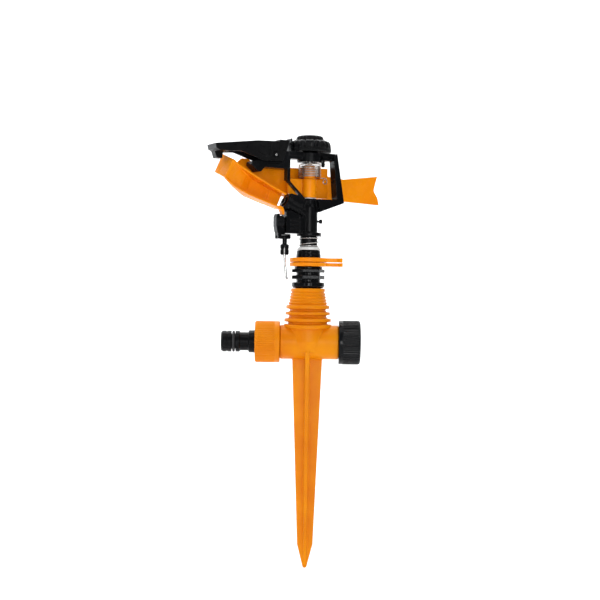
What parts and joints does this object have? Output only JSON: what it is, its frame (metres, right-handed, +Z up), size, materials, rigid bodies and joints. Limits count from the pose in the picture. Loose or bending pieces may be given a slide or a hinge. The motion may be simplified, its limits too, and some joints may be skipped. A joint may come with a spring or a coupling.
{
  "type": "impact sprinkler",
  "caption": "Impact garden sprinkler on a ground spike: hammer arm, diffuser flap, reversing trip with arc collars, hose inlet at the side of the base.",
  "frame": {"origin": "on the head's turning axis, at the soil line, where the spike meets the inlet barrel", "axes": "+Z up along the head's turning axis and the spike; +X along the inlet barrel, away from the hose nipple; -Y is the side seen"},
  "size_m": [0.1313, 0.0827, 0.3283],
  "materials": {
    "orange_plastic": "moulded satin gloss",
    "black_plastic": "moulded satin gloss",
    "rubber": "matt",
    "white_nylon": "satin",
    "spring_steel": "drawn wire"
  },
  "bodies": {
    "base": {"spike_base": "orange_plastic", "bearing_nut": "black_plastic", "stem_washer": "white_nylon", "stem_seal": "rubber", "thrust_washer": "white_nylon"},
    "inlet": {"hose_nipple": "black_plastic", "nipple_o_ring": "rubber", "inlet_gasket": "rubber"},
    "union_nut": {"union_nut": "orange_plastic"},
    "cap_seal": {"end_cap_gasket": "rubber"},
    "end_cap": {"end_cap": "black_plastic"},
    "lower_collar": {"lower_collar": "orange_plastic"},
    "upper_collar": {"upper_collar": "orange_plastic"},
    "head": {"head_body": "black_plastic", "swivel_stem": "black_plastic", "nozzle_insert": "black_plastic", "pivot_pin": "spring_steel", "hub_washer": "white_nylon", "bearing_spring": "spring_steel", "arm_spring": "spring_steel", "flap_pin": "spring_steel", "trip_pivot": "spring_steel", "trip_spring": "spring_steel"},
    "arm": {"hammer_arm": "orange_plastic"},
    "tension_cap": {"tension_cap": "black_plastic"},
    "flap": {"diffuser_flap": "black_plastic"},
    "trip": {"trip_lever": "black_plastic"},
    "trip_pin": {"trip_pin_holder": "black_plastic", "trip_pin": "spring_steel"}
  },
  "joints": [
    {"name": "head_turn", "type": "hinge", "parent": "base", "child": "head", "pos_m": [0, 0, 0.09], "axis": [0, 0, 1], "range_deg": [-160, 115]},
    {"name": "arm_swing", "type": "hinge", "parent": "head", "child": "arm", "pos_m": [0, 0, 0.13], "axis": [0, 0, 1], "range_deg": [-22, 0], "stiffness_Nm_per_rad": 0.03, "springref_deg": 34.38},
    {"name": "tension_cap_turn", "type": "hinge", "parent": "head", "child": "tension_cap", "pos_m": [0, 0, 0.16], "axis": [0, 0, 1], "range_deg": [-90, 90]},
    {"name": "flap_tilt", "type": "hinge", "parent": "head", "child": "flap", "pos_m": [-0.0284, -0.01385, 0.1536], "axis": [-0.4384, 0.8988, 0], "range_deg": [0, 15]},
    {"name": "trip_flip", "type": "hinge", "parent": "head", "child": "trip", "pos_m": [-0.02157, -0.01052, 0.104], "axis": [0.8988, 0.4384, 0], "range_deg": [-8, 8]},
    {"name": "trip_pin_flip", "type": "hinge", "parent": "trip", "child": "trip_pin", "pos_m": [-0.01816, -0.00886, 0.0928], "axis": [0.8988, 0.4384, 0], "range_deg": [-70, 0]},
    {"name": "lower_collar_turn", "type": "hinge", "parent": "base", "child": "lower_collar", "pos_m": [0, 0, 0.0725], "axis": [0, 0, 1], "range_deg": [-60, 0]},
    {"name": "upper_collar_turn", "type": "hinge", "parent": "base", "child": "upper_collar", "pos_m": [0, 0, 0.076], "axis": [0, 0, 1], "range_deg": [0, 60]},
    {"name": "inlet_slide", "type": "slide", "parent": "base", "child": "inlet", "axis": [-1, 0, 0], "range_m": [0, 0.009]},
    {"name": "union_nut_turn", "type": "hinge", "parent": "inlet", "child": "union_nut", "pos_m": [-0.03, 0, 0.0137], "axis": [1, 0, 0], "range_deg": [0, 1080]},
    {"name": "cap_slide", "type": "slide", "parent": "base", "child": "cap_seal", "axis": [1, 0, 0], "range_m": [0, 0.009]},
    {"name": "end_cap_turn", "type": "hinge", "parent": "cap_seal", "child": "end_cap", "pos_m": [0.03, 0, 0.0137], "axis": [1, 0, 0], "range_deg": [0, 1080]}
  ],
  "couplings": [
    {"joint": "union_nut_turn", "follows": "inlet_slide", "rad_per_m": 2094.4},
    {"joint": "end_cap_turn", "follows": "cap_slide", "rad_per_m": 2094.4}
  ]
}
